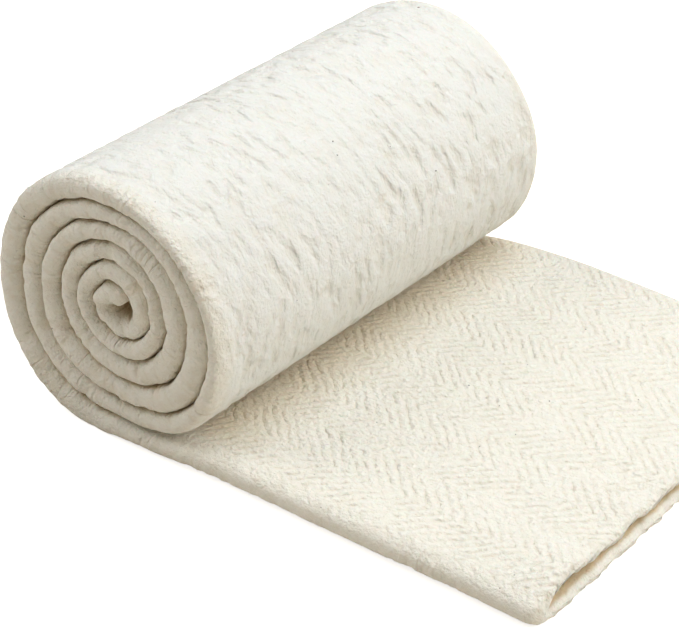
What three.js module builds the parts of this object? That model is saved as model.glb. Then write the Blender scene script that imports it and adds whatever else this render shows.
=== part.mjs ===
// A roll of cotton batting: one length of soft felted cotton, folded in half along its length
// and wound up from one end. The other end lies flat on the surface in front of the roll.
// Inside the roll the turns press on one another, so they part only at its two ends.
// Millimetres, +Z up. The origin is on the surface, under the eye of the winding and half way
// along the roll. +X runs along the loose end to its cut, and the folded edge lies at -Y.
import * as THREE from 'three';
import { mergeVertices } from 'three/addons/utils/BufferGeometryUtils.js';

// Driving sizes
const WIDTH = 233; // from the folded edge to the two open edges
const TAIL_REACH = 209.5; // from the eye of the winding to the cut end of the lower layer
const EYE_HEIGHT = 62; // the eye of the winding over the surface
const WOUND_TURNS = 5.5; // from the surface under the roll to the end in its eye
const TURN_GAP = 0.8; // between one turn and the next, where they part
const LAYER_GAP = 0.8; // between the two layers of the folded cloth, where they part
const FOLD_DEPTH = 6; // how far the round of the folded edge reaches along the roll
const OPEN_EDGE_DEPTH = 5; // how far the open edges are rounded over, both layers together
const OPEN_EDGE_TURNS = [0.055, 0.14, 0.25]; // places round the open edge, in turns from its tip
const GROOVE_DEPTH = 2; // how much deeper the turns part than the round of their edges
const LAYER_PARTING = 6; // how far in the two layers part along the open edges of the roll
const TAIL_SLOT_START = 9; // from the folded edge to where the layers of the loose end part
const TAIL_SLOT_REACH = 38; // the layers of the loose end part this far from the roll's middle
const LIP = 0.8; // each layer's edge turns in this far at the slot
const EYE_DEPTH = 22; // the hollow in the eye, at the folded end
const OPEN_EYE_DEPTH = 12; // the same at the open end
const UPPER_SETBACK = 2.5; // the upper layer is cut this much shorter than the lower one
const SETBACK_LENGTH = 14; // the end of the upper layer over which it draws back
const POCKET_LENGTH = 50; // how far the gaps between the layers run in from the cut end
const CORNER_RADIUS = 5; // the folded edge is rounded off at the cut end
const CORNER_SHARE = 0.9; // of a full quarter round, so that the edge keeps a face at the cut
const FOLD_STEPS = 7; // flats around the folded edge
const STEPS_IN_TURN = 26;

// How far the outer face of each turn lies from the eye, in eight directions. Seen from the
// folded edge the cloth comes in along the surface from the right and climbs the left side.
// The last ten places are the wall of the hollow that is left in the eye.
const TURNS = [
  { base: 62, lowLeft: 69.2, left: 67, upLeft: 63.3, top: 58, upRight: 57, right: 58.5, lowRight: 59 },
  { base: 52, lowLeft: 57, left: 54, upLeft: 52.5, top: 49, upRight: 50, right: 49.5, lowRight: 47 },
  { base: 42.5, lowLeft: 44.5, left: 42, upLeft: 42, top: 41, upRight: 41.5, right: 38.5, lowRight: 35.5 },
  { base: 32, lowLeft: 31.5, left: 31, upLeft: 32, top: 32, upRight: 30, right: 26.5, lowRight: 24 },
  { base: 21, lowLeft: 20.5, left: 22, upLeft: 22.5, top: 22.5, upRight: 21, right: 18.5, lowRight: 14.5 },
  { base: 12.5, lowLeft: 12, left: 13.5, upLeft: 13.5, top: 14.5, upRight: 13.5, right: 9.5, lowRight: 6 },
  { base: 4, lowLeft: 3.5, left: 4.5, upLeft: 5, top: 6, upRight: 6, right: 5, lowRight: 4 },
];
const DIRECTIONS = Object.keys(TURNS[0]);

// How much larger the roll is at its open end than at its folded end, in each direction
const OPEN_END_GROWTH = {
  base: 0, lowLeft: -0.6, left: -0.5, upLeft: 0.7, top: 1.2, upRight: 0.5, right: 1.3, lowRight: 1.2,
};

// The folded edge on the way into the eye: how far it stands back, and how much further its
// inner face stands back than its outer one, so that the last turn leans in like a funnel
const FOLDED_EDGE = [
  { turns: 0, setBack: 0, lean: 0 },
  { turns: 0.3, setBack: 0.3, lean: 0 },
  { turns: 0.8, setBack: -0.3, lean: 0 },
  { turns: 1.4, setBack: 0.5, lean: 0 },
  { turns: 2.1, setBack: -0.2, lean: 0 },
  { turns: 3, setBack: 0.6, lean: 0.3 },
  { turns: 4.2, setBack: 0.4, lean: 0.8 },
  { turns: 4.75, setBack: 1, lean: 2.5 },
  { turns: 5.05, setBack: 1.5, lean: 7 },
  { turns: 5.3, setBack: 1.5, lean: 9 },
  { turns: WOUND_TURNS, setBack: 3, lean: 9 },
];

// The loose end, from under the roll to the cut: thickness of the two layers, how far the
// folded edge stands back, and how far the open edges bow out past the roll's width
const TAIL = [
  { reach: 0, thickness: 9.2, setBack: 0, bow: 0 },
  { reach: 14, thickness: 8.9, setBack: 0, bow: 0 },
  { reach: 24, thickness: 9.4, setBack: 0, bow: 0.2 },
  { reach: 40, thickness: 11, setBack: 0.2, bow: 2 },
  { reach: 72, thickness: 11.8, setBack: 0.6, bow: 4.6 },
  { reach: 105, thickness: 11.8, setBack: 0.4, bow: 4.6 },
  { reach: 140, thickness: 11.8, setBack: 0.5, bow: 3 },
  { reach: 172, thickness: 11.5, setBack: 0.2, bow: 1.6 },
  { reach: 192, thickness: 11.4, setBack: 0.2, bow: 0.6 },
  { reach: 201, thickness: 11.3, setBack: 0.4, bow: 1 },
  { reach: TAIL_REACH, thickness: 11, setBack: 0.6, bow: 1 },
];

// Where the upper layer stands off the lower one at the cut end, measured from the folded edge
const POCKETS = [
  { along: 9, lift: 0 },
  { along: 20, lift: 2.4 },
  { along: 36, lift: 2.2 },
  { along: 54, lift: 0.9 },
  { along: 66, lift: 0.2 },
  { along: 80, lift: 1.7 },
  { along: 93, lift: 0.2 },
  { along: 112, lift: 1.8 },
  { along: 150, lift: 0.8 },
  { along: 190, lift: 1.6 },
  { along: WIDTH, lift: 0.6 },
];

// Reads one column of a table at a place between two of its rows, on a smooth line.
function readOff(table, key, place, column) {
  const last = table.length - 1;
  let row = table.findIndex((entry) => entry[key] > place) - 1;
  if (row < 0) row = place < table[0][key] ? 0 : last - 1;
  const share = (place - table[row][key]) / (table[row + 1][key] - table[row][key]);
  const eased = THREE.MathUtils.smoothstep(share, 0, 1);
  return THREE.MathUtils.lerp(table[row][column], table[row + 1][column], eased);
}

// A smooth line through a list of values, read at a place counted in list steps.
function throughValues(values, place) {
  const step = Math.min(Math.floor(place), values.length - 2);
  const at = (k) => values[THREE.MathUtils.clamp(step + k, 0, values.length - 1)];
  const t = place - step;
  const slopeIn = (at(1) - at(-1)) / 2;
  const slopeOut = (at(2) - at(0)) / 2;
  const blend = t * t * (3 - 2 * t);
  return at(0) + (at(1) - at(0)) * blend + slopeIn * t * (1 - t) ** 2 - slopeOut * t * t * (1 - t);
}

const faceRadii = TURNS.flatMap((row) => DIRECTIONS.map((direction) => row[direction]));
const faceRadius = (turns) => throughValues(faceRadii, turns * DIRECTIONS.length);

// How the roll widens along its length, as a factor on the distance from the eye.
function growth(turns, y) {
  const round = [...DIRECTIONS, DIRECTIONS[0]];
  const shares = round.map((direction) => OPEN_END_GROWTH[direction] / TURNS[0][direction]);
  const place = (turns - Math.floor(turns)) * DIRECTIONS.length;
  return 1 + (throughValues(shares, place) * y) / WIDTH;
}

// A point of the wound cloth. Turns are counted from the surface inwards, y runs from the
// folded edge, and depth is 0 on the inner face of the folded cloth and 1 on its outer face.
function woundPoint(turns, y, depth) {
  const inner = faceRadius(turns + 1) + TURN_GAP;
  const radius = THREE.MathUtils.lerp(inner, faceRadius(turns), depth) * growth(turns, y);
  const angle = (0.75 - turns) * 2 * Math.PI;
  const height = EYE_HEIGHT + radius * Math.sin(angle);
  return new THREE.Vector3(radius * Math.cos(angle), y - WIDTH / 2, Math.max(height, 0));
}

// A point of the loose end, which is flat below. Its upper layer lifts and draws back at the
// cut, and depth is 0 on its upper face.
function tailPoint(reach, y, depth) {
  const thickness = readOff(TAIL, 'reach', reach, 'thickness');
  const upper = depth < 0.5 ? 1 : 0;
  const inPocket = THREE.MathUtils.smoothstep(reach, TAIL_REACH - POCKET_LENGTH, TAIL_REACH);
  const lift = readOff(POCKETS, 'along', Math.max(y, POCKETS[0].along), 'lift') * inPocket * upper;
  const drawnBack = THREE.MathUtils.smoothstep(reach, TAIL_REACH - SETBACK_LENGTH, TAIL_REACH);
  const past = THREE.MathUtils.smoothstep(y, FOLD_DEPTH, 3 * FOLD_DEPTH);
  const x = reach - UPPER_SETBACK * drawnBack * upper * past;
  return new THREE.Vector3(x, y - WIDTH / 2, thickness * (1 - depth) + lift);
}

// Where a point lies on the outline of the folded cloth, as a number that grows around it:
// along the outer face, round the folded edge, back along the inner face, and over the two
// open edges with the slot between them.
const ORDER = { outer: 0, fold: 1, inner: 2, innerLip: 3, slot: 3.5, outerLip: 4 };
const LIP_SPAN = 0.2; // what each layer's lip takes up of that number
const SLOT_SPAN = 0.25; // what each side of the slot takes up
const BESIDE = 0.1; // from the end of one stretch to a point that stands alone beside it

// Round the folded edge, from the outer face to the inner one.
function foldRun({ setBack, lean, place }) {
  const near = setBack + FOLD_DEPTH;
  return Array.from({ length: FOLD_STEPS + 1 }, (_, step) => {
    const turn = Math.PI * (0.5 - step / FOLD_STEPS);
    const depth = 0.5 + 0.5 * Math.sin(turn);
    const y = near - FOLD_DEPTH * Math.cos(turn) + lean * (1 - depth);
    return { order: ORDER.fold + step / FOLD_STEPS, point: place(y, depth) };
  });
}

// Over the open edges, from the inner face to the outer one, in and out of the slot. The slot
// is as deep as its first column, and further columns follow it inwards.
function openRun({ thickness, bow, place }, slotColumns) {
  const far = WIDTH + bow;
  const slot = LAYER_GAP / 2 / thickness;
  const lip = OPEN_EDGE_TURNS.map((turn) => ({
    share: turn / OPEN_EDGE_TURNS[OPEN_EDGE_TURNS.length - 1],
    y: far - OPEN_EDGE_DEPTH * (1 - Math.cos(2 * Math.PI * turn)),
    offMiddle: 0.5 * Math.sin(2 * Math.PI * turn),
  }));
  const inward = [far - LIP, ...slotColumns.slice(1).reverse()];
  const along = (y) => SLOT_SPAN * (1 - y / far);
  const innerLip = [...lip].reverse().map(({ share, y, offMiddle }) => (
    { order: ORDER.innerLip + LIP_SPAN * (1 - share), point: place(y, 0.5 - offMiddle) }));
  const outerLip = lip.map(({ share, y, offMiddle }) => (
    { order: ORDER.outerLip - LIP_SPAN * (1 - share), point: place(y, 0.5 + offMiddle) }));
  const slotIn = inward.map((y) => (
    { order: ORDER.slot - SLOT_SPAN + along(y), point: place(y, 0.5 - slot) }));
  const slotEnd = { order: ORDER.slot, point: place(slotColumns[0], 0.5) };
  const slotOut = [...inward].reverse().map((y) => (
    { order: ORDER.slot + SLOT_SPAN - along(y), point: place(y, 0.5 + slot) }));
  return [...innerLip, ...slotIn, slotEnd, ...slotOut, ...outerLip];
}

// A station of the wound cloth, counted in steps from the surface inwards.
const STEPS = Math.round(WOUND_TURNS * STEPS_IN_TURN);
const INNER_END = STEPS - STEPS_IN_TURN; // from here on the inner face looks into the eye
function station(step) {
  const turns = step / STEPS_IN_TURN;
  const shape = {
    thickness: faceRadius(turns) - faceRadius(turns + 1) - TURN_GAP,
    setBack: readOff(FOLDED_EDGE, 'turns', turns, 'setBack'),
    lean: readOff(FOLDED_EDGE, 'turns', turns, 'lean'),
    bow: 0,
    place: (y, depth) => woundPoint(turns, y, depth),
  };
  const innerStart = shape.setBack + FOLD_DEPTH + shape.lean;
  return { ...shape, innerStart, fold: foldRun(shape), open: openRun(shape, [WIDTH - LAYER_PARTING]) };
}
const stations = Array.from({ length: STEPS + 1 }, (_, step) => station(step));

// The bottom of the groove between a station and the turn outside it, at either end.
function grooveBottom(step, atFold) {
  const outside = stations[step - STEPS_IN_TURN];
  const inside = stations[step];
  const beside = 1 + TURN_GAP / 2 / inside.thickness;
  const foldEnd = Math.max(outside.innerStart, inside.setBack + FOLD_DEPTH) + GROOVE_DEPTH;
  const openEnd = WIDTH - OPEN_EDGE_DEPTH - GROOVE_DEPTH;
  return inside.place(atFold ? foldEnd : openEnd, beside);
}

const eyeWall = (step, atFold) => stations[step].place(atFold ? EYE_DEPTH : WIDTH - OPEN_EYE_DEPTH, 0);

// The cloth's edge at a station, with the bottoms of the grooves on either side of it. What is
// there depends on the strip that the run belongs to, because the outermost turn has no groove
// outside it and the innermost looks into the eye.
function edgeRun(step, strip, atFold) {
  const hasOutside = strip >= STEPS_IN_TURN;
  const looksInto = strip >= INNER_END;
  const inside = looksInto ? eyeWall(step, atFold) : grooveBottom(step + STEPS_IN_TURN, atFold);
  const outer = hasOutside ? [{ point: grooveBottom(step, atFold) }] : [];
  if (atFold) {
    const before = outer.map((entry) => ({ ...entry, order: ORDER.fold - BESIDE }));
    return [...before, ...stations[step].fold, { order: ORDER.inner + BESIDE, point: inside }];
  }
  const after = outer.map((entry) => ({ ...entry, order: ORDER.outerLip + BESIDE }));
  return [{ order: ORDER.innerLip - BESIDE, point: inside }, ...stations[step].open, ...after];
}

// Fills the strip between two runs of points, which may differ in number, with triangles.
function stitch(one, other, triangles) {
  let a = 0;
  let b = 0;
  while (a < one.length - 1 || b < other.length - 1) {
    const otherDone = b === other.length - 1;
    if (otherDone || (a < one.length - 1 && one[a + 1].order <= other[b + 1].order)) {
      triangles.push([one[a].point, one[a + 1].point, other[b].point]);
      a += 1;
    } else {
      triangles.push([one[a].point, other[b + 1].point, other[b].point]);
      b += 1;
    }
  }
}

// The outermost face of the roll, between its two ends. Its last row is where it meets the
// loose end, in the crease under the roll.
function outsideRow(step) {
  const { fold, open } = stations[step];
  const crease = step < STEPS_IN_TURN ? [] : [
    { order: ORDER.outer + BESIDE, point: grooveBottom(step, false) },
    { order: ORDER.fold - BESIDE, point: grooveBottom(step, true) },
  ];
  return [
    { order: ORDER.outer, point: open[open.length - 1].point },
    ...crease,
    { order: ORDER.fold, point: fold[0].point },
  ];
}

// The end of the cloth in the eye, and the floor of the hollow, at one end of the roll.
function eyeEnd(atFold, triangles) {
  const edge = edgeRun(STEPS, STEPS, atFold);
  const wallOf = (step) => eyeWall(step, atFold);
  const groove = grooveBottom(STEPS, atFold);
  const face = stations[INNER_END];
  const lastOfFace = atFold ? face.fold[face.fold.length - 1].point : face.open[0].point;
  const flip = (corners) => (atFold ? corners : [...corners].reverse());
  const outline = (atFold ? edge : [...edge].reverse()).map(({ point }) => point);
  for (let k = 0; k < outline.length - 1; k += 1) {
    triangles.push(flip([outline[k], outline[k + 1], wallOf(INNER_END)]));
  }
  triangles.push(flip([lastOfFace, groove, wallOf(INNER_END)]));
  const ring = Array.from({ length: STEPS_IN_TURN + 1 }, (_, k) => wallOf(INNER_END + k));
  const middle = new THREE.Vector3();
  ring.forEach((point) => middle.addScaledVector(point, 1 / ring.length));
  [...ring.slice(1), ring[0]].forEach((point, k) => triangles.push(flip([point, ring[k], middle])));
}

// The loose end, as closed outlines from the cut to the crease under the roll.
function tailOutline(reach) {
  const corner = CORNER_SHARE * Math.max(reach - TAIL_REACH + CORNER_RADIUS, 0);
  const rounded = CORNER_RADIUS - Math.sqrt(CORNER_RADIUS ** 2 - corner ** 2);
  const shape = {
    thickness: readOff(TAIL, 'reach', reach, 'thickness'),
    setBack: readOff(TAIL, 'reach', reach, 'setBack') + rounded,
    bow: readOff(TAIL, 'reach', reach, 'bow'),
    lean: 0,
    place: (y, depth) => tailPoint(reach, y, depth),
  };
  const far = WIDTH + shape.bow;
  const columns = POCKETS.slice(1, -1).map((entry) => entry.along);
  const slotColumns = reach > TAIL_SLOT_REACH ? [TAIL_SLOT_START, ...columns] : [far - LAYER_PARTING];
  return [
    ...[...columns].reverse().map((y) => ({ order: ORDER.fold - y / far, point: shape.place(y, 1) })),
    ...foldRun(shape),
    ...columns.map((y) => ({ order: ORDER.inner + y / far, point: shape.place(y, 0) })),
    ...openRun(shape, slotColumns),
  ];
}

// Under the roll the loose end's outline passes over to the first station of the winding.
function creaseOutline() {
  const { fold, open } = stations[0];
  return [
    ...fold,
    { order: ORDER.inner + BESIDE, point: grooveBottom(STEPS_IN_TURN, true) },
    { order: ORDER.innerLip - BESIDE, point: grooveBottom(STEPS_IN_TURN, false) },
    ...open,
  ];
}

// A cut end is a ribbon between the outside of the folded cloth and the slot in it. Each side of
// the slot faces the outside of its own layer, and the slot's bottom faces the fold.
function cutEnd(outline, triangles) {
  const inSlot = ({ order }) => Math.abs(order - ORDER.slot) <= SLOT_SPAN;
  const aroundTo = ORDER.outerLip - ORDER.outer;
  const lips = outline.filter(({ order }) => order > ORDER.slot + SLOT_SPAN)
    .map((entry) => ({ ...entry, order: entry.order - aroundTo }));
  const outside = [...lips, ...outline.filter(({ order }) => order < ORDER.slot - SLOT_SPAN)];
  const foldMiddle = (ORDER.fold + ORDER.inner) / 2;
  const facing = outline.filter(inSlot).reverse()
    .map(({ point, order }) => ({ point, order: foldMiddle + (ORDER.slot - order) / SLOT_SPAN }));
  stitch(facing, outside, triangles);
}

function battingGeometry() {
  const triangles = [];
  const closed = (outline) => [...outline, { ...outline[0], order: Infinity }];
  const reaches = TAIL.slice(1).map(({ reach }) => reach).reverse();
  reaches.splice(1, 0, TAIL_REACH - CORNER_RADIUS / 3, TAIL_REACH - CORNER_RADIUS);
  const outlines = [...reaches.map(tailOutline), creaseOutline()];
  outlines.slice(1).forEach((outline, k) => stitch(closed(outlines[k]), closed(outline), triangles));
  cutEnd(outlines[0], triangles);

  for (let step = 0; step < STEPS; step += 1) {
    if (step < STEPS_IN_TURN) stitch(outsideRow(step), outsideRow(step + 1), triangles);
    stitch(edgeRun(step, step, true), edgeRun(step + 1, step, true), triangles);
    stitch(edgeRun(step, step, false), edgeRun(step + 1, step, false), triangles);
  }
  eyeEnd(true, triangles);
  eyeEnd(false, triangles);

  const places = triangles.flat().flatMap((point) => point.toArray());
  const loose = new THREE.BufferGeometry();
  loose.setAttribute('position', new THREE.Float32BufferAttribute(places, 3));
  const geometry = mergeVertices(loose, 1e-3);
  geometry.computeVertexNormals();
  return geometry;
}

const naturalCotton = new THREE.MeshStandardMaterial({ color: 0xf1ecdf, roughness: 0.95, metalness: 0 });
const batting = new THREE.Mesh(battingGeometry(), naturalCotton);
batting.name = 'folded_batting';

const group = new THREE.Group();
group.add(batting);
export default group;
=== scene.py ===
# %% [markdown]
# # A roll of cotton batting
# One length of soft, needled cotton batting. It was folded in half along its length, so that one
# side of the roll shows a row of plump folds and the other shows two cut edges to every turn, and
# then it was wound up from one end. The loose end lies flat in front and shows the other face of
# the cloth, which is quilted in a herringbone by the needles.
#
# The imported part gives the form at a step's distance. It could be dressed with textures alone,
# but a felt has no sharp outlines and the winding is what catches the eye, so this script sweeps
# the same cloth again, finer and less regular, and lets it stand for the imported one.

import math

import bpy
import numpy as np
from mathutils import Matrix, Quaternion, Vector


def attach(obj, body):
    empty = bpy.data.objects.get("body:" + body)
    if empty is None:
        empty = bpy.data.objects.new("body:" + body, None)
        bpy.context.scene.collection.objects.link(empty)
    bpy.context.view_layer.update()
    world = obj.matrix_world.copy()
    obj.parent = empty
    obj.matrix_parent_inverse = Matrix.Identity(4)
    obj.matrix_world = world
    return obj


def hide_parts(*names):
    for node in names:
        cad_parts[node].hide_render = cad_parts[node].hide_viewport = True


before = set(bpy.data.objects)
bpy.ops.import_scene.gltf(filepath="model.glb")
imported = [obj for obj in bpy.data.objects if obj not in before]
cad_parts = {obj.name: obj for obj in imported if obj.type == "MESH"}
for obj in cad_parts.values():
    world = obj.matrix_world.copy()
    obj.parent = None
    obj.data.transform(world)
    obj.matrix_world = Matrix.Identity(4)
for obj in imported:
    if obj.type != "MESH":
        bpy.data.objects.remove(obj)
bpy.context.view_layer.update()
MM = 0.001

# %% [markdown]
# ## Camera
# The photo was taken from in front of the roll and well above it, with a long lens that keeps
# the far end of the roll almost as large as the near one. The place, the aim and the slight tilt
# of the camera come from fitting the roll's ends and the corners of the loose end.

# %% camera
camera = bpy.data.objects.new("camera", bpy.data.cameras.new("camera"))
bpy.context.scene.collection.objects.link(camera)
camera.location = Vector((517.3, -632.0, 498.2)) * MM
aim = Vector((61.6, -42.5, 50.0)) * MM - camera.location
CAMERA_ROLL = math.radians(0.64)
camera.rotation_mode = "QUATERNION"
camera.rotation_quaternion = aim.to_track_quat("-Z", "Y") @ Quaternion((0, 0, 1), CAMERA_ROLL)
camera.data.lens = 109.75
camera.data.dof.use_dof = False
bpy.context.scene.camera = camera
print("camera looks down by", round(math.degrees(math.asin(-aim.normalized().z)), 1), "degrees")

# %% [markdown]
# ## How the winding lies
# A drawn spiral would be too even. Each turn of soft cloth sags on the one below it, so the
# outline of every turn is measured in eight directions from the eye of the roll, and a smooth
# line goes through the places. All lengths are in millimetres until the mesh is made.

# %% measurements of the winding
WIDTH = 233  # from the folded edge to the two open edges
TAIL_REACH = 209.5  # from the eye of the winding to the cut end
EYE_HEIGHT = 62
WOUND_TURNS = 5.64
TURN_GAP = 0.3
LAYER_GAP = 0.8
FOLD_DEPTH = 6, 9.5  # of the rounded part of the fold, in the roll and in the loose end
OPEN_EDGE_DEPTH = 5

TURNS = np.array([
    # base, low left, left, up left, top, up right, right, low right
    [62, 71, 67, 62, 57.2, 57, 58.7, 59],
    [52, 57, 53.4, 49.8, 47.4, 49.2, 51, 49.2],
    [43, 45.2, 41.4, 39.8, 39.8, 41.2, 38.7, 36.6],
    [32.6, 32, 30.5, 30.6, 31, 29.7, 26.7, 24.2],
    [21.5, 20.8, 21.2, 20.8, 21.6, 20.8, 18.5, 14.8],
    [13.8, 13, 13, 12, 11.4, 9.4, 6.8, 4.8],
    [3.2, 3, 3.6, 1.6, 0.8, 1, 1.2, 1],
])
OPEN_END_GROWTH = np.array([0, 0.4, 1.5, 3, 2.4, -1.7, -1.5, -0.6])
FOLDED_EDGE = np.array([
    # turns, how far the fold stands back, how much more its inner face stands back
    [0, -2, 0], [0.09, -1, 0], [0.3, 0.3, 0], [0.8, -0.3, 0], [1.4, 0.5, 0], [2.1, -0.2, 0],
    [3, 0.6, 0.3], [4.2, 0.4, 0.8], [4.75, 0.8, 2.5], [4.95, 1, 5], [5.12, 1.2, 6.5],
    [5.2, 1.2, 5.5], [5.27, 0.9, 1], [5.38, 0.6, 0.4], [5.52, 0.9, 0.4], [5.64, 2, 1],
])
TAIL = np.array([
    # reach, thickness, how far the fold stands back, how far the open edges bow out
    [0, 9.2, -2, 0], [14, 8.9, -1.7, 0], [24, 9.4, -1, 0.2], [40, 11, 0, 2], [72, 11.8, 1, 4.6],
    [105, 11.8, 1.4, 4.6], [140, 11.8, 2.0, 3], [172, 11.5, 2.7, 1.6], [192, 11.4, 2.8, 0.6],
    [201, 11.3, 2.8, 1], [209.5, 11, 2.8, 1],
])
POCKETS = np.array([
    # place from the folded edge, how far the upper layer stands off at the cut
    [9, 0], [16, 2], [24, 3], [38, 2.6], [50, 1.2], [62, 0.1], [76, 1.5], [84, 1.1], [91, 0],
    [100, 1.1], [120, 0.8], [150, 0.5], [190, 1.2], [233, 0.6],
])


def ease(value, start=0.0, end=1.0):
    """0 before start, 1 after end, and a smooth rise between them."""
    t = np.clip((value - start) / (end - start), 0, 1)
    return t * t * (3 - 2 * t)


def read_off(table, place, column=1):
    """A smooth line through one column of a table, read at a place in its first column."""
    at, value = table[:, 0], table[:, column]
    slope = np.gradient(value, at)
    row = np.clip(np.searchsorted(at, place) - 1, 0, len(at) - 2)
    step = at[row + 1] - at[row]
    t = np.clip((place - at[row]) / step, 0, 1)
    bend = step * (slope[row] * t * (1 - t) ** 2 - slope[row + 1] * t * t * (1 - t))
    return value[row] + (value[row + 1] - value[row]) * t * t * (3 - 2 * t) + bend


EIGHTHS = np.arange(TURNS.size) / 8
FACES = np.c_[EIGHTHS, TURNS.ravel()]
GROWTH = np.c_[np.arange(9) / 8, np.append(OPEN_END_GROWTH, 0) / np.append(TURNS[0], 62)]
print("turns:", WOUND_TURNS, " outermost turn is across, mm:", TURNS[0, 2] + TURNS[0, 6])

# %% [markdown]
# ## Where the winding goes astray
# Where the folds meet one another at the near end, the lines between the turns wander, and here
# and there a fold is kinked or pinched. A noise alone would spread such places evenly. The ones
# that catch the eye are listed one by one instead, and sines of unlike lengths make the rest.

# %% wandering lines, kinks and pinches
WANDER = [(0.35, 3.1, 0.2), (0.25, 7.3, 0.6), (0.16, 13.7, 0.1)]  # size, waves in a turn, start
KINKS = np.array([
    # turns, how far out, half its length
    [4.594, 0.8, 5], [4.656, 2.1, 4], [3.747, 1.4, 3.5], [3.15, 0.9, 4], [2.18, 0.8, 5],
    [3.057, 0.7, 4], [2.75, 0.6, 6],
])
PINCHES = np.array([
    # turns, depth, half its length, side: 1 at the groove outside, 0 at the one inside
    [0.365, 1.6, 2.6, 0], [1.372, 1.7, 2.6, 0], [1.392, 1.0, 2.4, 1], [2.378, 1.3, 2.4, 0],
    [3.385, 1.2, 2.2, 0], [0.293, 0.8, 2.0, 0.5], [1.273, 0.9, 2.0, 0.5], [2.236, 1.2, 1.7, 1],
    [2.052, 1.3, 2.4, 0], [3.06, 1.3, 2.2, 1], [2.15, 1.5, 2.6, 0], [3.15, 1.4, 2.2, 0.8],
    [1.17, 1.2, 2.6, 0], [0.13, 0.9, 3.0, 0.3], [2.93, 1.2, 2.4, 0], [1.9, 1.2, 3.0, 0],
    [3.72, 1.1, 2.4, 0.2], [4.62, 1.0, 2.2, 0.8], [0.55, 0.7, 3.0, 0], [1.62, 0.7, 3.0, 0.2],
])
NEAR_END = 26  # how far in from the ends the turns stray
PINCH_LENGTH = 8  # how far in from the near end a pinch reaches
PINCH_SHIFT = 0.55  # how much of its depth a pinch pushes the fold back
PARTED, DRAWN_BACK, UNEVEN = 50, 14, 10  # how far in from the cut its layers are so
RAGGED = 1.3  # how uneven the edge of the cut is


def waves(table, place):
    return sum(size * np.sin(2 * np.pi * (rate * place + start)) for size, rate, start in table)


def bumps(table, turns):
    """How high each of a table's humps is at a place in the winding, up to 1."""
    arc = (turns - table[:, 0]) * 2 * np.pi * read_off(FACES, table[:, 0])
    return np.exp(-(arc / table[:, 2]) ** 2)


def pinched(turns, y, depth, sizes):
    """How much the folds are pinched at a place, each pinch by its share of the sizes."""
    side = np.clip(1 - 2 * np.abs(depth[:, None] - PINCHES[:, 3]), 0, 1)
    return (bumps(PINCHES, turns) * side) @ sizes * np.exp(-(y / PINCH_LENGTH) ** 2)


def face_radius(turns, y):
    """The outer face of the cloth at a place in the winding, from the eye of the roll."""
    stray = waves(WANDER, turns) + bumps(KINKS, turns) @ KINKS[:, 1]
    fade = np.exp(-(y / NEAR_END) ** 2) + 0.6 * np.exp(-((WIDTH - y) / NEAR_END) ** 2)
    return read_off(FACES, turns) + stray * fade * ease(turns, 0.85, 1.1)


def wound_place(turns, y, depth):
    """A point of the wound cloth; depth is 0 on the inner face of the cloth and 1 on its outer."""
    inner = face_radius(turns + 1, y) + TURN_GAP
    radius = inner + (face_radius(turns, y) - inner) * depth
    radius = radius * (1 + read_off(GROWTH, turns % 1) * y / WIDTH)
    angle = (0.75 - turns) * 2 * np.pi
    height = np.maximum(EYE_HEIGHT + radius * np.sin(angle), 0)
    shift = pinched(turns, y, depth, PINCH_SHIFT * PINCHES[:, 1])
    shift = shift + 0.25 * waves(WANDER, 2.3 * turns) * np.exp(-(y / 9) ** 2)
    return np.c_[radius * np.cos(angle), y + shift - WIDTH / 2, height]


def near_cut(reach, stretch):
    """1 at the cut of the loose end, falling to 0 over the stretch before it."""
    return ease(reach, TAIL_REACH - stretch, TAIL_REACH)


def tail_place(reach, y, depth):
    """A point of the loose end; depth is 0 on its upper face."""
    thickness = read_off(TAIL, reach)
    upper = depth < 0.5
    lift = read_off(POCKETS, np.maximum(y, POCKETS[0, 0])) + 0.4 * waves(WANDER, y / 40)
    lift = lift * near_cut(reach, PARTED) * ease(y, 5, 14)
    lift = np.where(upper, lift, -0.2 * lift * np.clip(2 - 2 * depth, 0, 1))
    drawn_back = (1.2 * upper * ease(y, 6, 18) - ~upper) * near_cut(reach, DRAWN_BACK)
    uneven = waves(WANDER, y / 70 + 0.4 * upper) + 0.22 * waves(WANDER, y / 31 + 0.3 * upper)
    uneven = uneven * near_cut(reach, UNEVEN) * ease(y, 4, 12)
    height = thickness * (1 - depth) + lift
    return np.c_[reach - drawn_back + RAGGED * uneven, y - WIDTH / 2, height]


print("kinks:", len(KINKS), " pinches:", len(PINCHES))

# %% [markdown]
# ## One outline, swept along the cloth
# Everywhere along its length the folded cloth has the same kind of outline: an outer face, a
# plump fold, an inner face, and two open edges with a slot between the layers. The outlines are
# laid side by side along the cloth and joined into one closed skin. The points are close
# together on the faces that show and far apart inside the roll, so two neighbouring outlines may
# differ in their number of points. Each point carries its order around the outline, and the
# strip between two outlines takes its triangles in that order.

# %% outlines and the strips between them
FACE = 8, 227  # where a flat face of the cloth starts and ends, from the folded edge
ROLL_OUTSIDE = np.arange(*FACE, 1.65)
TAIL_TOP = np.arange(*FACE, 1.2)
INSIDE = np.array([30, 120, 205])
SLOT_IN_ROLL = np.array([6.5, 120])
SLOT_IN_TAIL = np.array([
    9, 14, 20, 28, 36, 45, 54, 60, 66, 73, 80, 87, 93, 102, 112, 130, 150, 170, 190, 212])
AT_CUT = np.arange(*FACE, 1.8)
FOLD_POINTS, LIP_POINTS = 14, 5
FULLNESS = 0.87  # under 1, the fold is fuller than half a circle
LIP_ARC = 0.07, 0.25  # the part of a circle that rounds each open edge, in turns
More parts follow.
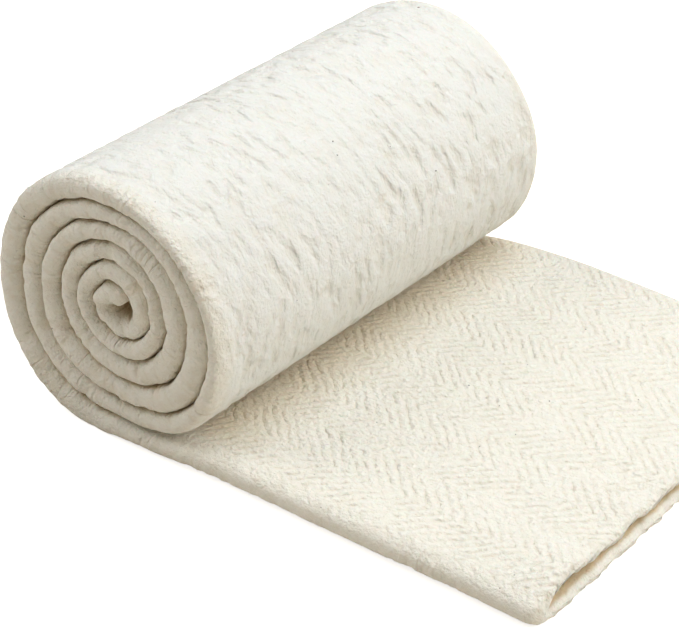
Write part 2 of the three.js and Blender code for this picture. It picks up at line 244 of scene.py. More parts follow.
# the order at the start of each part, and at the bottom of the slot
OUTER, FOLD, INNER, INNER_LIP, SLOT, OUTER_LIP = 0, 1, 2, 3, 3.5, 3.8
ALL_ROUND = 4  # the order all the way round
LIP_SPAN = 0.2  # of the order, taken by one lip
SLOT_SPAN = 0.25  # of the order, taken by one side of the slot
JUST = 0.01  # a small step in the order, to tell neighbouring parts apart


def outline(thickness, back, lean, bow, fold, outer, inner, slot, worn=0):
    """Order, y and depth of the points around the folded cloth. A cut end is worn round."""
    far, soft, gap = WIDTH + bow, worn / thickness, (LAYER_GAP / 2 + worn) / thickness
    turn = np.linspace(np.pi / 2, -np.pi / 2, FOLD_POINTS)
    full = np.sign(np.sin(turn)) * np.abs(np.sin(turn)) ** FULLNESS
    round_depth = 0.5 + (0.5 - soft) * full
    plump = np.abs(np.cos(turn)) ** FULLNESS
    round_y = back + fold - (fold - worn) * plump + lean * (1 - round_depth)
    lip = np.linspace(*LIP_ARC, LIP_POINTS) * 2 * np.pi
    lip_y = far - worn - OPEN_EDGE_DEPTH * (1 - np.cos(lip))
    lip_depth = (0.5 - soft) * np.sin(lip)
    slot_y = np.append(slot, far - worn - 0.8)
    first, last = back + fold + 1.2, far - worn - OPEN_EDGE_DEPTH - 0.8
    drawn = [first + (columns - FACE[0]) * (last - first) / (FACE[1] - FACE[0])
             for columns in (outer, inner)]
    runs = [
        (OUTER + 1 - outer[::-1] / WIDTH, drawn[0][::-1], 1 - soft),
        (FOLD + np.linspace(0, 0.99, FOLD_POINTS), round_y, round_depth),
        (INNER + inner / WIDTH, drawn[1] + lean, soft),
        (INNER_LIP + np.linspace(0, LIP_SPAN, LIP_POINTS), lip_y[::-1], 0.5 - lip_depth[::-1]),
        (SLOT - SLOT_SPAN * slot_y[:0:-1] / far, slot_y[:0:-1], 0.5 - gap),
        (np.array([SLOT]), slot_y[:1], 0.5),
        (SLOT + SLOT_SPAN * slot_y[1:] / far, slot_y[1:], 0.5 + gap),
        (OUTER_LIP + np.linspace(0, LIP_SPAN, LIP_POINTS), lip_y, 0.5 + lip_depth),
    ]
    return [np.concatenate([np.broadcast_to(run[k], run[1].shape) for run in runs])
            for k in range(3)]


def stitch(one, other, order_one, order_other):
    """The triangles between two runs of points, taken in the order that the points carry."""
    i, j = np.arange(len(one) - 1), np.arange(len(other) - 1)
    j_at = np.searchsorted(order_other[1:], order_one[1:], side="left")
    i_at = np.searchsorted(order_one[1:], order_other[1:], side="right")
    return np.concatenate([
        np.c_[one[i], one[i + 1], other[j_at]], np.c_[one[i_at], other[j + 1], other[j]]])


def cut_end(order, y, ids):
    """The ribbon that closes a cut end, between the outside of the cloth and its slot."""
    slot = (order > INNER_LIP + LIP_SPAN + JUST) & (order < OUTER_LIP - JUST)
    lips = order > OUTER_LIP - JUST
    outside = np.concatenate([ids[lips], ids[~slot & ~lips]])
    outside_order = np.concatenate([order[lips] - ALL_ROUND, order[~slot & ~lips]])
    facing = np.where(order < SLOT, 2 + y / WIDTH, np.where(order > SLOT, 1 - y / WIDTH, 1.5))
    return stitch(ids[slot][::-1], outside, facing[slot][::-1], outside_order)


print("points across the cloth:", len(TAIL_TOP), "on the loose end,", len(ROLL_OUTSIDE),
      "around the roll,", len(INSIDE), "where nothing shows")

# %% [markdown]
# ## The skin of the cloth
# The stations along the cloth are one to two millimetres apart where its faces show. Each point
# also keeps its place in the flat cloth, along it, across it and through its thickness, and
# how much it takes of each kind of surface: quilted on top of the loose end, dented around the
# outside of the roll, gathered on the folds, or painted warm shade, in the slot, between the
# turns, in the nip under the roll and in the pinches. The relief, the colour and the lint all read
# these.

# %% the stations along the cloth
STATION_SPACING = [1.7, 2.2, 2.2, 2.1, 1.8, 1.2]  # in each turn, from the outside in
tail_stations = np.concatenate([
    TAIL_REACH - np.array([0, 0.15, 0.5, 1, 1.6, 2.3, 3.2]),  # where the cut is worn round
    np.arange(205.4, 28, -1.25),  # where the loose end shows
    np.arange(27, 1, -2.6)])  # where the roll lies on it
turn_lengths = 2 * np.pi * read_off(FACES, np.arange(6) + 0.5)
wound_stations = np.concatenate([
    turn + np.arange(0, 1, spacing / length)
    for turn, (spacing, length) in enumerate(zip(STATION_SPACING, turn_lengths))])
wound_stations = np.append(wound_stations[wound_stations < WOUND_TURNS - 0.01], WOUND_TURNS)
middle = (read_off(FACES, wound_stations) + read_off(FACES, wound_stations + 1)) / 2
steps = np.diff(wound_stations) * 2 * np.pi * (middle[1:] + middle[:-1]) / 2
wound_along = -np.concatenate([[0], np.cumsum(steps)])
WORN = 2.3, 1.5  # radius that the outer and the inner cut end are worn to
INNER_END_RADIUS = 7  # of the winding at its inner end
CORNER = 7  # radius that the corner of the loose end is worn to
CORNER_CUT = 0.93  # the part of that radius where its quarter circle stops
CUT_SHOWS = 4, 7  # how far in from the cut its underside and its slot show
TOP_SHOWS, SLOT_SHOWS = 12, 140  # reach past which the top and the slot of the loose end show
OUTERMOST = 0.04, 1.03  # turns between which the outer face of the cloth shows
GATHERED = 13  # how far in from the folded edge the cloth is gathered
PINCH_SHADE = 0.3  # how much painted shade a pinch takes


def worn_back(from_end, radius):
    """How far the outline draws in near a cut end."""
    return radius - math.sqrt(radius ** 2 - np.clip(radius - from_end, 0, radius - 0.1) ** 2)


def ring(line, placed, along, thickness, *shares):
    """One outline: its order, y, points in space, place in the flat cloth and surface shares."""
    order, y, depth = line
    flat = np.c_[np.full(len(y), along), y, depth * thickness]
    return order, y, placed, flat, np.stack([share + 0 * y for share in shares], 1)


def in_slot(order):
    return (order > INNER_LIP + LIP_SPAN - JUST) & (order < OUTER_LIP + JUST)


rings = []
for reach in tail_stations:
    from_cut = TAIL_REACH - reach
    corner = np.clip(reach - (TAIL_REACH - CORNER), 0, CORNER) * CORNER_CUT
    thickness, back, bow = (read_off(TAIL, reach, column) for column in (1, 2, 3))
    line = outline(
        thickness, back + CORNER - math.sqrt(CORNER ** 2 - corner ** 2), 0, bow, FOLD_DEPTH[1],
        AT_CUT if from_cut < CUT_SHOWS[0] else INSIDE, TAIL_TOP if reach > TOP_SHOWS else INSIDE,
        AT_CUT + 1 if from_cut < CUT_SHOWS[1]
        else SLOT_IN_TAIL if reach > SLOT_SHOWS else SLOT_IN_ROLL,
        worn=worn_back(from_cut, WORN[0]))
    order, y, depth = line
    on_top = (order > FOLD + 0.4) & (order < INNER_LIP + 0.1)
    quilted = on_top * ease(y, 2, 12) * ease(WIDTH + bow - y, 0.5, 6) * ease(reach, 12, 26)
    gathered = np.maximum(0.7 * ease(GATHERED - y, 0, 8), 0.3 * ease(2 - from_cut))
    # painted shade inside the slot between the two layers, from a little in from the cut
    shade_between = in_slot(order) * ease(from_cut, 1.3, 3.6)
    # painted warm shade on the loose end's top, in the nip under the roll
    shade_under_roll = 0.45 * on_top * ease(76 - reach, 0, 42) * ease(y, 6, 24)
    rings.append(ring(line, tail_place(reach, y, depth), reach, thickness,
                      quilted, 0, gathered, shade_between + shade_under_roll))
for turns, along in zip(wound_stations, wound_along):
    thickness = read_off(FACES, turns) - read_off(FACES, turns + 1) - TURN_GAP
    back, lean = read_off(FOLDED_EDGE, turns), read_off(FOLDED_EDGE, turns, 2)
    line = outline(
        thickness, back, lean, 0, FOLD_DEPTH[0],
        ROLL_OUTSIDE if OUTERMOST[0] < turns < OUTERMOST[1] else INSIDE, INSIDE,
        SLOT_IN_ROLL,
        worn=worn_back((WOUND_TURNS - turns) * 2 * np.pi * INNER_END_RADIUS, WORN[1]))
    order, y, depth = line
    outside = ((order < FOLD + 0.6) | (order > OUTER_LIP - 0.1)) & (turns < 1.2)
    dented = outside * ease(y, 1, 14) * ease(WIDTH - y, 0, 9) * ease(turns, 0.05, 0.12)
    # painted shade on the faces between the turns, from a few millimetres in from the folds, and
    # in the slot
    shade_between = ~outside * ease(y, back + 2.2, back + 6 + lean)
    # painted warm shade on the roll's outer face at its foot, in the nip
    shade_at_foot = 0.7 * outside * ease(turns, 0.84, 0.97) * ease(y, 6, 16)
    # painted shade in the pinches
    pinch_shade = pinched(turns, y, depth, np.full(len(PINCHES), PINCH_SHADE))
    rings.append(ring(line, wound_place(turns, y, depth), along, thickness,
                      0, dented, ease(GATHERED + lean - y, 2, 9),
                      np.clip(in_slot(order) + shade_between + shade_at_foot + pinch_shade, 0, 1)))
print("stations:", len(rings), " cloth length, mm:", round(TAIL_REACH - wound_along[-1]))

# %% the mesh
starts = np.cumsum([0] + [len(line[0]) for line in rings])
ids = [np.arange(start, end) for start, end in zip(starts[:-1], starts[1:])]
triangles = [stitch(np.append(ids[k], ids[k][0]), np.append(ids[k + 1], ids[k + 1][0]),
                    np.append(rings[k][0], np.inf), np.append(rings[k + 1][0], np.inf))
             for k in range(len(rings) - 1)]
triangles += [cut_end(rings[0][0], rings[0][1], ids[0]),
              cut_end(rings[-1][0], rings[-1][1], ids[-1])[:, ::-1]]
triangles = np.concatenate(triangles)
points, flat_place, shares = (np.concatenate([line[k] for line in rings]) for k in (2, 3, 4))

skin = bpy.data.meshes.new("batting_skin")
skin.from_pydata((points * MM).tolist(), [], triangles.tolist())
skin.polygons.foreach_set("use_smooth", np.ones(len(triangles), bool))
skin.attributes.new("flat_place", "FLOAT_VECTOR", "POINT").data.foreach_set(
    "vector", (flat_place * MM).astype(np.float32).ravel())
SURFACES = ["quilted", "dented", "gathered", "hidden"]
for name, values in zip(SURFACES, shares.T):
    skin.attributes.new(name, "FLOAT", "POINT").data.foreach_set(
        "value", values.astype(np.float32))
print("triangles:", len(triangles))

# %% [markdown]
# ## Node trees written as sums
# The relief of the cloth is the same sum in its mesh and in its material, and both kinds of node
# tree hold the same maths nodes. A small class lets such a sum be written once as plain
# arithmetic and grown in either tree.

# %% a way to write node trees
class Wire:
    """A value on its way through a node tree."""

    def __init__(self, graph, socket):
        self.graph, self.socket = graph, socket

    def other(self, key):
        return Wire(self.graph, self.socket.node.outputs[key])

    def __add__(self, value):
        return self.graph.maths("ADD", self, value)

    def __sub__(self, value):
        return self.graph.maths("SUBTRACT", self, value)

    def __mul__(self, value):
        return self.graph.maths("MULTIPLY", self, value)

    def __truediv__(self, value):
        return self.graph.maths("DIVIDE", self, value)

    def __rtruediv__(self, value):
        return self.graph.maths("DIVIDE", value, self)

    def __pow__(self, value):
        return self.graph.maths("POWER", self, value)

    def __abs__(self):
        return self.graph.maths("ABSOLUTE", self)

    def rise(self, start, end):
        """0 below start, 1 above end."""
        return self.graph.add("ShaderNodeMapRange", {0: self, 1: start, 2: end},
                              interpolation_type="SMOOTHSTEP")


class Graph:
    """A node tree that is being built. A group's inputs come as wires by their names."""

    def __init__(self, tree):
        self.tree = tree

    def plug(self, node, plugs):
        """Wires go to a node's inputs as links, and anything else becomes the input's value."""
        for key, value in dict(plugs).items():
            if isinstance(value, Wire):
                self.tree.links.new(value.socket, node.inputs[key])
            else:
                node.inputs[key].default_value = value

    def add(self, kind, plugs=(), out=0, **settings):
        """A new node with its settings and inputs, as the wire of one of its outputs."""
        node = self.tree.nodes.new(kind)
        for name, value in settings.items():
            setattr(node, name, value)
        self.plug(node, plugs)
        return Wire(self, node.outputs[out])

    def maths(self, operation, *values):
        return self.add("ShaderNodeMath", enumerate(values), operation=operation)

    def vector(self, x, y, z):
        return self.add("ShaderNodeCombineXYZ", {0: x, 1: y, 2: z})

    def noise(self, place, scale, detail=2.0, rough=0.5):
        return self.add("ShaderNodeTexNoise", {
            "Vector": place, "Scale": scale, "Detail": detail, "Roughness": rough})

    def split(self, place):
        x = self.add("ShaderNodeSeparateXYZ", {0: place})
        return x, x.other(1), x.other(2)


def new_group(name, kind, inputs, outputs):
    """A node group with named inputs: its graph, their wires by name and its output node."""
    tree = bpy.data.node_groups.new(name, kind)
    for label, (socket, value) in inputs.items():
        made = tree.interface.new_socket(label, in_out="INPUT", socket_type="NodeSocket" + socket)
        if value is not None:
            made.default_value = value
    for label, socket in outputs.items():
        tree.interface.new_socket(label, in_out="OUTPUT", socket_type="NodeSocket" + socket)
    graph = Graph(tree)
    first = graph.add("NodeGroupInput")
    wires = {label: first.other(label) for label in inputs}
    return graph, wires, tree.nodes.new("NodeGroupOutput")


def new_material(name):
    """A material, its graph and its shader."""
    made = bpy.data.materials.new(name)
    made.use_nodes = True
    return made, Graph(made.node_tree), made.node_tree.nodes["Principled BSDF"]


print("a sum such as along + across * 2 becomes two maths nodes")

# %% [markdown]
# ## Grooves, dents and gathers
# The needles leave ribs that run slantwise in bands and turn at each band's edge, which makes a
# herringbone. The slant comes from folding the place across the cloth back and forth, so that
# one sawtooth along the cloth, shifted by the fold, draws every groove. The bands wander a little
# and here and there the ribs are worn almost flat. Around the roll the outer face is stretched
# and shows soft dents that follow the winding instead. On the folds the cloth is gathered, and
# fine lines run across each fold.

# %% the relief as sums
RIB_PITCH = 5.9 * MM  # along the cloth; the ribs slant by 45 degrees
BAND = 19.1 * MM
BAND_START = 9.1 * MM
DENT = 11 * MM, 5.5 * MM  # length and spacing
GATHER = 4.6 * MM


def strayed(graph, value, place, per_metre, reach):
    """A length that a soft noise moves about, by up to half the reach either way."""
    return value + (graph.noise(place, per_metre, 1) - 0.5) * reach


def patchy(graph, place, per_metre, start, end, least=0.0, detail=1):
    """1 in some patches of the cloth and least in the others: a noise, cut at start and end."""
    return graph.noise(place, per_metre, detail).rise(start, end) * (1 - least) + least


def stretched(graph, place, spacing, longer):
    """The place in the cloth, for a pattern that is finer along it and longer across it."""
    along, across, through = graph.split(place)
    return graph.vector(along / spacing, across / (spacing * longer), through / (spacing * longer))


def grooves(graph, place, pitch, band):
    """How deep the groove between two quilted ribs is, up to 1 in its middle."""
    along, across, _ = graph.split(place)
    along = strayed(graph, strayed(graph, along, place, 45, 4.5 * MM), place, 190, 3.4 * MM)
    across = strayed(graph, across, place, 33, 4 * MM)
    zigzag = graph.maths("PINGPONG", across + BAND_START, band)
    tooth = graph.maths("FRACT", (along + zigzag) / pitch)
    kept = patchy(graph, place, 60, 0.34, 0.56, 0.4, detail=2)
    stitched = patchy(graph, place, 300, 0.36, 0.6, 0.35)
    return abs(tooth * 2 - 1) ** 2 * kept * stitched


def dents(graph, place, length, spacing):
    """How deep the soft dents are that run along the stretched face, up to 1."""
    along, across, through = graph.split(place)
    across = strayed(graph, across, place, 30, 14 * MM)
    drawn = graph.vector(along / length, across / spacing, through / spacing)
    soft = graph.noise(drawn, 1, 2, 0.5).rise(0.42, 0.7)
    return soft * patchy(graph, place, 17, 0.33, 0.6, 0.45)


def gathers(graph, place, spacing):
    """How deep the fine lines are that run across a fold, up to 1."""
    lines = graph.noise(stretched(graph, place, spacing, 3), 1, 2, 0.55)
    return lines.rise(0.42, 0.72) * patchy(graph, place, 60, 0.35, 0.65, 0.35)


def creases(graph, place, spacing):
    """How deep the sharp creases across a fold are. They run where a noise is middling."""
    middling = abs(graph.noise(stretched(graph, place, spacing, 4), 0.8, 1, 0.5) - 0.5)
    sharp = graph.maths("MAXIMUM", middling * -13 + 1, 0.0)
    return sharp * patchy(graph, place, 75, 0.4, 0.72)


print("ribs along the loose end:", round(TAIL_REACH * MM / RIB_PITCH))

# %% [markdown]
# ## Relief in the mesh
# The larger relief moves the points of the skin along their normals: the grooves, the deeper
# dents and soft lumps where the cotton lies thicker. A modifier does it, so that the heights
# and the pitch stay inputs with names while the look is being found. Afterwards the result
# becomes a plain mesh, because the piece that is handed on has to stand alone.

# %% tools for modifiers
def run_modifier(obj, group, **values):
    """The mesh that a geometry node group makes of an object, with the inputs that are given."""
    modifier = obj.modifiers.new(group.name, "NODES")
    modifier.node_group = group
    for item in group.interface.items_tree:
        if item.in_out == "INPUT" and item.name.replace(" ", "_").lower() in values:
            modifier[item.identifier] = values[item.name.replace(" ", "_").lower()]
    bpy.context.view_layer.update()
    graph = bpy.context.evaluated_depsgraph_get()
    mesh = bpy.data.meshes.new_from_object(
        obj.evaluated_get(graph), preserve_all_data_layers=True, depsgraph=graph)
    obj.modifiers.remove(modifier)
    return mesh


def piece(name, mesh):
    made = bpy.data.objects.new(name, mesh)
    bpy.context.scene.collection.objects.link(made)
    return made


def finish_group(graph, last, geometry, material):
    """Ends a geometry group: real points and faces, with a material on them."""
    real = graph.add("GeometryNodeRealizeInstances", {0: geometry})
    painted = graph.add("GeometryNodeSetMaterial", {0: real, "Material": material})
    graph.tree.links.new(painted.socket, last.inputs[0])


def named(graph, name, kind="FLOAT"):
    return graph.add("GeometryNodeInputNamedAttribute", {"Name": name}, data_type=kind)


def surfaces_that_show(graph):
    return [named(graph, name) for name in SURFACES if name != "hidden"]


print("surfaces that the relief and the colour read:", SURFACES)

# %% the relief modifier
relief, wire, end = new_group("felt_relief", "GeometryNodeTree", {
    "Cloth": ("Geometry", None), "Rib Pitch": ("Float", RIB_PITCH), "Band Width": ("Float", BAND),
    "Groove Depth": ("Float", 0), "Dent Length": ("Float", DENT[0]),
    "Dent Spacing": ("Float", DENT[1]), "Dent Depth": ("Float", 0),
    "Gather Spacing": ("Float", GATHER), "Gather Depth": ("Float", 0),
    "Lump Size": ("Float", 0.012), "Lump Height": ("Float", 0), "Material": ("Material", None),
}, {"Cloth": "Geometry"})
place = named(relief, "flat_place", "FLOAT_VECTOR")
quilted, dented, gathered = surfaces_that_show(relief)
lumps = relief.noise(place, 1.0 / wire["Lump Size"], 1) - 0.5
height = ((quilted + dented + gathered).rise(0, 1) * wire["Lump Height"] * lumps
          - quilted * wire["Groove Depth"] * grooves(relief, place, wire["Rib Pitch"],
                                                     wire["Band Width"])
          - dented * wire["Dent Depth"] * dents(relief, place, wire["Dent Length"],
                                                wire["Dent Spacing"])
          - gathered * wire["Gather Depth"] * gathers(relief, place, wire["Gather Spacing"]))
normal = relief.add("GeometryNodeInputNormal")
offset = relief.add("ShaderNodeVectorMath", {0: normal, "Scale": height}, operation="SCALE")
moved = relief.add("GeometryNodeSetPosition", {"Geometry": wire["Cloth"], "Offset": offset})
x, y, z = relief.split(relief.add("GeometryNodeInputPosition"))
kept_up = relief.add("GeometryNodeSetPosition", {
    "Geometry": moved, "Position": relief.vector(x, y, relief.maths("MAXIMUM", z, 0.0))})
finish_group(relief, end, kept_up, wire["Material"])
print("relief inputs:", list(wire)[1:])

# %% [markdown]
# ## The cotton
# Unbleached cotton is a warm white. Light goes in among the fibres and comes out a little
# further on, so hard shading would make it look like plaster: a weak subsurface share and a
# sheen for the fuzz keep it soft. The nap on the surface is far too fine for the mesh, so it is
# a bump, and so are the sharp bottoms of the grooves that the mesh only rounds.

# %% groups for tone and nap
tone, wire, end = new_group("cotton_tone", "ShaderNodeTree", {
    "Place": ("Vector", None), "Light": ("Color", (0.87, 0.84, 0.745, 1)),
    "Warm": ("Color", (0.74, 0.66, 0.5, 1)), "Mottle Size": ("Float", 0.009),
    "Groove": ("Float", 0), "Groove Shade": ("Float", 0.45),
    # the colour and the share on the next line paint warm shade where shade falls: in the slot,
    # between the turns, in the nip under the roll and in the pinches
    "Raw": ("Color", (0.74, 0.6, 0.39, 1)), "Hidden": ("Float", 0),
    # the tint on the next line is painted light: it makes the roll's outer face cooler and a
    # little darker, standing in for the cool light that falls on it from above
    "Cool Light Tint": ("Color", (0.805, 0.8, 0.75, 1)), "Stretched": ("Float", 0),
}, {"Color": "Color"})
cloudy = tone.noise(wire["Place"], 1.0 / wire["Mottle Size"], 4, 0.6)
grain = tone.noise(wire["Place"], 5.0 / wire["Mottle Size"], 3, 0.7)
# the mottle is the cotton's own uneven tone; the groove part is painted shade in the grooves,
# dents and gathers
share = (cloudy.rise(0.42, 0.75) * 0.14 + grain.rise(0.45, 0.75) * 0.16
         + wire["Groove"] * wire["Groove Shade"])
colour = wire["Light"]
for amount, toned in ((wire["Stretched"], wire["Cool Light Tint"]), (share, wire["Warm"]),
                      (wire["Hidden"], wire["Raw"])):
    colour = tone.add("ShaderNodeMix", {0: amount, 6: colour, 7: toned}, out=2,
                      data_type="RGBA", clamp_factor=True)
tone.tree.links.new(colour.socket, end.inputs[0])

nap, wire, end = new_group("felt_nap", "ShaderNodeTree", {
    "Place": ("Vector", None), "Quilted": ("Float", 0), "Dented": ("Float", 0),
    "Gathered": ("Float", 0), "Groove Depth": ("Float", 0), "Dent Depth": ("Float", 0),
    "Gather Depth": ("Float", 0), "Nap Height": ("Float", 0),
}, {"Normal": "Vector", "Groove": "Float"})
groove = wire["Quilted"] * grooves(nap, wire["Place"], RIB_PITCH, BAND)
dent = wire["Dented"] * dents(nap, wire["Place"], *DENT)
gather = wire["Gathered"] * (gathers(nap, wire["Place"], GATHER) * 0.7
                             + creases(nap, wire["Place"], GATHER))
knobs = nap.noise(wire["Place"], 430, 1) * wire["Quilted"]
fuzz = nap.noise(wire["Place"], 700, 3, 0.62) + nap.noise(wire["Place"], 230, 2) * 0.9
raised = fuzz * (wire["Gathered"] * 0.5 + 1) + knobs * 1.2
height = (wire["Nap Height"] * raised - groove * wire["Groove Depth"]
          - dent * wire["Dent Depth"] - gather * wire["Gather Depth"])
bump = nap.add("ShaderNodeBump", {"Strength": 1.0, "Distance": 1.0, "Height": height})
nap.tree.links.new(bump.socket, end.inputs[0])
# the depth of the grooves, dents and gathers, which the colour darkens into painted shade
nap.tree.links.new((groove + dent * 0.4 + gather * 0.8).socket, end.inputs[1])
print("groups:", tone.tree.name, nap.tree.name)

# %% the cotton material
cotton, felt, shader = new_material("cotton_batting")


def attribute(name, out="Fac"):
    return felt.add("ShaderNodeAttribute", attribute_name=name, out=out)


place = attribute("flat_place", "Vector")
napped = felt.add("ShaderNodeGroup", {
    "Place": place, "Quilted": attribute("quilted"), "Dented": attribute("dented"),
    "Gathered": attribute("gathered"), "Groove Depth": 0.0005, "Dent Depth": 0.0008,
    "Gather Depth": 0.0006, "Nap Height": 0.0008}, out="Normal", node_tree=nap.tree)
toned = felt.add("ShaderNodeGroup", {
    # the colour takes painted shade in its grooves and in shaded recesses, and painted cool light
    # on the roll's outer face
    "Place": place, "Groove": napped.other("Groove"), "Hidden": attribute("hidden"),
    "Stretched": attribute("dented")}, node_tree=tone.tree)
felt.plug(shader, {
    "Base Color": toned, "Normal": napped, "Roughness": 0.95, "Specular IOR Level": 0.15,
    "Sheen Weight": 0.2, "Sheen Roughness": 0.6,
    "Subsurface Weight": 0.1, "Subsurface Scale": 0.002})
print("nodes in the material:", len(cotton.node_tree.nodes))

# %% the cloth takes its relief
draft = piece("draft", skin)
cloth = piece("batting", run_modifier(
    draft, relief.tree, groove_depth=0.57 * MM, dent_depth=1.1 * MM, gather_depth=0.8 * MM,
    lump_height=0.6 * MM, material=cotton))
bpy.data.objects.remove(draft)
print("faces with relief:", len(cloth.data.polygons))

# %% [markdown]
# ## Lint and seed flecks
# Loose fibres stand up from any felt, most of all along its folds, and specks of seed hull stay
# in cotton that isn't bleached. Both are scattered over the faces that show. A fibre is a thin
# three-sided tube, laid on the cloth at a random turn and bent by a noise that differs from place
# to place. A few specks are placed where the photo shows them, and moved onto the cloth.

# %% lint
lint, wire, end = new_group("loose_lint", "GeometryNodeTree", {
    "Cloth": ("Geometry", None), "Fibres per m2": ("Float", 16500),
    "Fibre Length": ("Float", 0.005), "Fibre Width": ("Float", 0.00007),
    "Curl": ("Float", 0.0024), "Seed": ("Int", 5), "Material": ("Material", None),
}, {"Lint": "Geometry"})


def showing(graph):
    """1 on the faces of the cloth that show, clear of the floor."""
    quilted, dented, gathered = surfaces_that_show(graph)
    height = graph.split(graph.add("GeometryNodeInputPosition"))[2]
    return (quilted + dented + gathered).rise(0, 0.5) * height.rise(3.5 * MM, 6 * MM)


def scattered(graph, cloth, per_area, seed):
    return graph.add("GeometryNodeDistributePointsOnFaces", {
        "Mesh": cloth, "Density": showing(graph) * per_area, "Seed": seed})


def random_number(graph, low, high, seed):
    return graph.add("FunctionNodeRandomValue", {2: low, 3: high, "Seed": seed}, out=1)


roots = scattered(lint, wire["Cloth"], wire["Fibres per m2"], wire["Seed"])
straight = lint.add("GeometryNodeCurvePrimitiveLine", {
    "Start": (-0.5, 0, 0.05), "End": (0.5, 0, 0.15)})  # in fibre lengths
jointed = lint.add("GeometryNodeResampleCurve", {"Curve": straight, "Count": 6})
section = lint.add("GeometryNodeCurvePrimitiveCircle", {
    "Resolution": 3, "Radius": wire["Fibre Width"] / wire["Fibre Length"] * 0.5})
fibre = lint.add("GeometryNodeCurveToMesh", {
    "Curve": jointed, "Profile Curve": section, "Fill Caps": True})
turn = lint.add("FunctionNodeRandomValue", {
    0: (-0.25, -0.35, 0), 1: (0.25, 0.35, 2 * math.pi), "Seed": 3}, data_type="FLOAT_VECTOR")
laid = lint.add("FunctionNodeRotateRotation", {
    "Rotation": roots.other("Rotation"), "Rotate By": turn}, rotation_space="LOCAL")
fibres = lint.add("GeometryNodeInstanceOnPoints", {
    "Points": roots, "Instance": fibre, "Rotation": laid,
    "Scale": random_number(lint, 0.5, 1.5, 8) * wire["Fibre Length"]})
loose = lint.add("GeometryNodeRealizeInstances", {0: fibres})
bend = lint.add("ShaderNodeTexNoise", {
    "Vector": lint.add("GeometryNodeInputPosition"), "Scale": 260, "Detail": 1}, out="Color")
bend = lint.add("ShaderNodeVectorMath", {0: bend, 1: (0.5, 0.5, 0.48)}, operation="SUBTRACT")
bend = lint.add("ShaderNodeVectorMath", {0: bend, "Scale": wire["Curl"]}, operation="SCALE")
curled = lint.add("GeometryNodeSetPosition", {"Geometry": loose, "Offset": bend})
finish_group(lint, end, curled, wire["Material"])

lint_cotton, thread, shader = new_material("cotton_lint")
toned = thread.add("ShaderNodeGroup", {
    "Place": thread.add("ShaderNodeTexCoord", out="Object"), "Light": (0.9, 0.87, 0.78, 1)},
    node_tree=tone.tree)
thread.plug(shader, {
    "Base Color": toned, "Roughness": 0.8, "Specular IOR Level": 0.2, "Sheen Weight": 0.1})
carrier = piece("carrier", cloth.data)
fibres = piece("lint", run_modifier(carrier, lint.tree, material=lint_cotton))
print("lint triangles:", sum(len(face.vertices) - 2 for face in fibres.data.polygons))

# %% seed flecks
SEEN_FLECKS = np.array([
    # along, across and above the surface, in the frame of the whole object
    [192.3, -101.9, 12.2], [92.3, -97.6, 11.8], [58.5, -66.6, 66.5], [165.7, 32.6, 11.6],
    [107.2, -112.4, 11.6], [139.6, -22.6, 11.6], [18.9, -106.4, 115.9], [191, -110, 11.3],
    [132.9, -39.3, 11.7], [122, -8.7, 11.6], [113.4, 25.7, 11.8], [42.8, 17.3, 99.9],
])
flecks, wire, end = new_group("seed_flecks", "GeometryNodeTree", {
    "Seen": ("Geometry", None), "Cloth": ("Object", None), "Flecks per m2": ("Float", 130),
    "Fleck Size": ("Float", 0.00025), "Seed": ("Int", 11), "Material": ("Material", None),
}, {"Flecks": "Geometry"})
ground_cloth = flecks.add("GeometryNodeObjectInfo", {"Object": wire["Cloth"]}, out="Geometry")
position = flecks.add("GeometryNodeInputPosition")
nearest = flecks.add("GeometryNodeSampleNearestSurface", {
    "Mesh": ground_cloth, "Value": position, "Sample Position": position},
    data_type="FLOAT_VECTOR")
seen = flecks.add("GeometryNodeMeshToPoints", {"Mesh": wire["Seen"]})
on_cloth = flecks.add("GeometryNodeSetPosition", {"Geometry": seen, "Position": nearest})
others = scattered(flecks, ground_cloth, wire["Flecks per m2"], wire["Seed"])
both = flecks.add("GeometryNodeJoinGeometry")
for points_at in (others, on_cloth):
    flecks.tree.links.new(points_at.socket, both.socket.node.inputs[0])
crumb = flecks.add("GeometryNodeMeshIcoSphere", {"Radius": 1, "Subdivisions": 2})
size = random_number(flecks, 0.5, 1.3, 2) * wire["Fleck Size"]
stretch = random_number(flecks, 1, 2.2, 6)
crumbs = flecks.add("GeometryNodeInstanceOnPoints", {
    "Points": both, "Instance": crumb, "Scale": flecks.vector(size * stretch, size, size * 0.7),
    "Rotation": flecks.vector(0, 0, random_number(flecks, 0, 2 * math.pi, 9))})
finish_group(flecks, end, crumbs, wire["Material"])

hull, crust, shader = new_material("seed_hull")
crust.plug(shader, {"Base Color": (0.09, 0.06, 0.04, 1), "Roughness": 0.7})
marks = bpy.data.meshes.new("marks")
marks.from_pydata((SEEN_FLECKS * MM).tolist(), [], [])
marked = piece("marked", marks)
seeds = piece("flecks", run_modifier(marked, flecks.tree, cloth=cloth, material=hull))
for helper in (carrier, marked):
    bpy.data.objects.remove(helper)
FACES_OF_A_CRUMB = 80
print("flecks:", len(seeds.data.polygons) // FACES_OF_A_CRUMB)

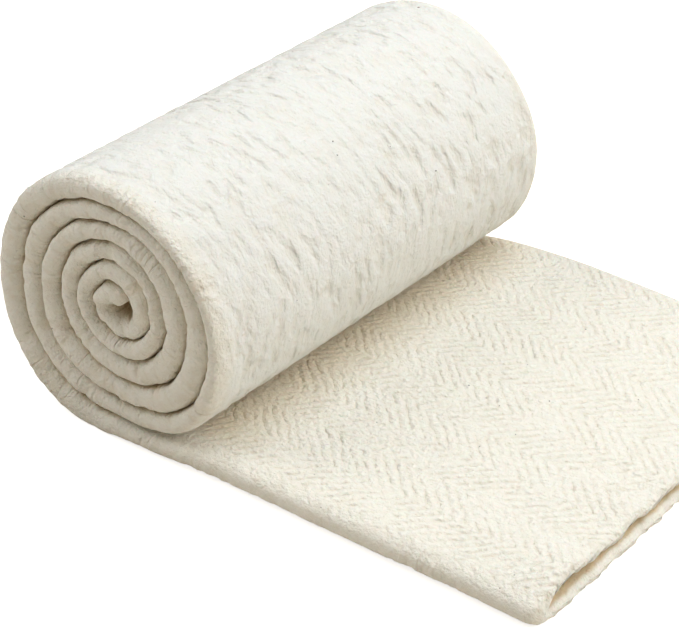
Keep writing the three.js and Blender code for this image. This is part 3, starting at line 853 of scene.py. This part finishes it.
# %% [markdown]
# ## Light and floor
# The photo is a cut-out on white, in soft light that comes from above and from behind the roll,
# so the end with the folds is in shade and the floor shows almost no shadow. One large softbox
# overhead, two weaker ones and a dim warm surround give that. The floor is pale and warm, and
# shines for the camera alone: as white as the photo's ground, it would light the folds too much.

# %% softboxes, surround and floor
LIT = Vector((0, 0, 0.05))  # where the softboxes point


def softbox(name, place, size, watts, colour):
    light = bpy.data.lights.new(name, "AREA")
    light.shape, light.size, light.energy, light.color = "DISK", size, watts, colour
    lamp = bpy.data.objects.new(name, light)
    bpy.context.scene.collection.objects.link(lamp)
    lamp.location = place
    lamp.rotation_mode = "QUATERNION"
    lamp.rotation_quaternion = (LIT - lamp.location).to_track_quat("-Z", "Y")


softbox("softbox_above", (0.22, 0.56, 1.42), 1.2, 14.1, (0.865, 0.925, 1))
softbox("softbox_left", (-0.8, -0.6, 1.1), 0.9, 8.1, (1, 1, 1))
softbox("softbox_right", (1.05, 0.2, 0.95), 0.9, 9.4, (1, 0.985, 0.96))
world = bpy.data.worlds.new("surround")
bpy.context.scene.world = world
world.use_nodes = True
Graph(world.node_tree).plug(world.node_tree.nodes["Background"], {
    "Color": (1.0, 0.93, 0.82, 1), "Strength": 0.19})

FLOOR = 6  # metres from the roll to each edge of the floor
plane = bpy.data.meshes.new("floor")
plane.from_pydata([(-FLOOR, -FLOOR, 0), (FLOOR, -FLOOR, 0), (FLOOR, FLOOR, 0), (-FLOOR, FLOOR, 0)],
                  [], [(0, 1, 2, 3)])
floor = piece("floor", plane)
pale, ground, shader = new_material("pale_floor")
seen = ground.add("ShaderNodeLightPath", out="Is Camera Ray")
ground.plug(shader, {
    "Base Color": (0.8, 0.74, 0.65, 1), "Roughness": 0.9, "Specular IOR Level": 0.1,
    "Emission Color": (0.98, 0.99, 1, 1), "Emission Strength": seen * 0.75})
plane.materials.append(pale)
bpy.context.scene.view_settings.view_transform = "Standard"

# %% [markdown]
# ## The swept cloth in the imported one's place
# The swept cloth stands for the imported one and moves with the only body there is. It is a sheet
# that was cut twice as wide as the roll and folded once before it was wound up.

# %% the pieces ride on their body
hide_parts("folded_batting")
for made in (cloth, fibres, seeds):
    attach(made, "root")
